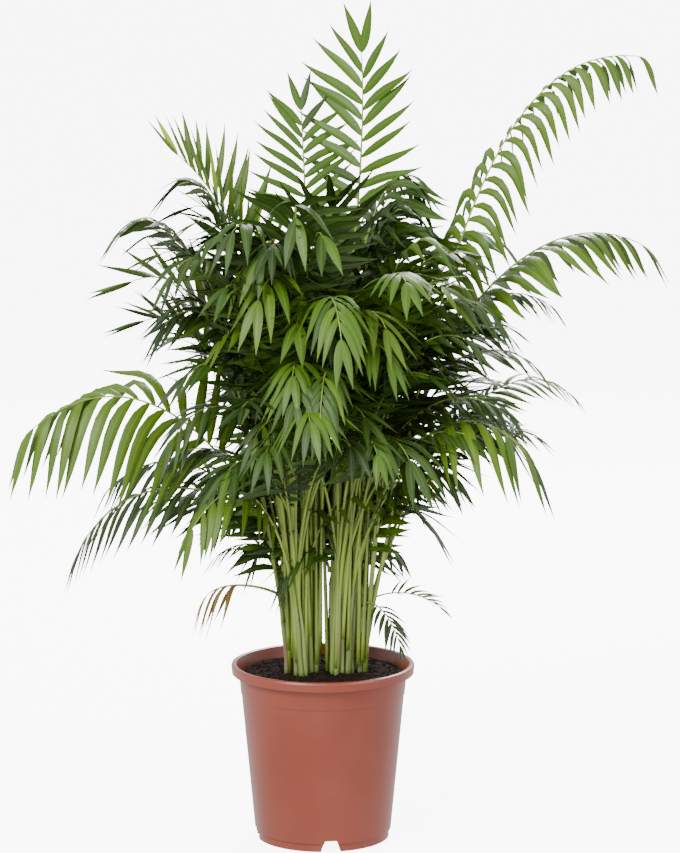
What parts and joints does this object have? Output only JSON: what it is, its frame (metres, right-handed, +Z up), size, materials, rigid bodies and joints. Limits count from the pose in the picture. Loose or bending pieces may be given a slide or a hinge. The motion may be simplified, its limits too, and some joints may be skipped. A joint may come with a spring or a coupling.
{
  "type": "potted parlor palm",
  "caption": "Clump-growing indoor palm with arching feather fronds on slender green stems, in a tapered terracotta-coloured plastic nursery pot filled with soil.",
  "frame": {"origin": "middle of the pot's flat underside, on the surface it stands on", "axes": "+Z up, +X to the right and -Y to the front as pictured"},
  "size_m": [0.8398, 0.5634, 1.0785],
  "materials": {
    "pot": "satin moulded plastic",
    "soil": "crumbly dark potting soil",
    "stems": "green canes with streaked sheaths",
    "fronds": "satin green leaf blade"
  },
  "bodies": {
    "root": {"frond_back_low": "fronds", "frond_big_left": "fronds", "frond_broad": "fronds", "frond_centre": "fronds", "frond_droop_left": "fronds", "frond_fan_right": "fronds", "frond_front_left": "fronds", "frond_front_right": "fronds", "frond_high_right": "fronds", "frond_inner_1": "fronds", "frond_inner_10": "fronds", "frond_inner_2": "fronds", "frond_inner_3": "fronds", "frond_inner_4": "fronds", "frond_inner_5": "fronds", "frond_inner_6": "fronds", "frond_inner_7": "fronds", "frond_inner_8": "fronds", "frond_inner_9": "fronds", "frond_left_dark": "fronds", "frond_left_high": "fronds", "frond_left_inner": "fronds", "frond_left_mid": "fronds", "frond_left_pale": "fronds", "frond_left_upper": "fronds", "frond_low_left": "fronds", "frond_low_right": "fronds", "frond_mid_right": "fronds", "frond_right": "fronds", "frond_right_inner": "fronds", "frond_right_upper": "fronds", "frond_rim_right": "fronds", "frond_second_top": "fronds", "frond_short_left": "fronds", "frond_short_right": "fronds", "frond_slim_right": "fronds", "frond_small_right": "fronds", "frond_star": "fronds", "frond_top": "fronds", "frond_upper_right": "fronds", "frond_wilted": "fronds", "frond_young": "fronds", "pot": "pot", "soil": "soil", "stem_left_1": "stems", "stem_left_2": "stems", "stem_left_3": "stems", "stem_left_4": "stems", "stem_left_5": "stems", "stem_left_6": "stems", "stem_left_7": "stems", "stem_left_8": "stems", "stem_right_1": "stems", "stem_right_2": "stems", "stem_right_3": "stems", "stem_right_4": "stems", "stem_right_5": "stems", "stem_right_6": "stems", "stem_right_7": "stems", "stem_right_8": "stems"}
  },
  "joints": []
}
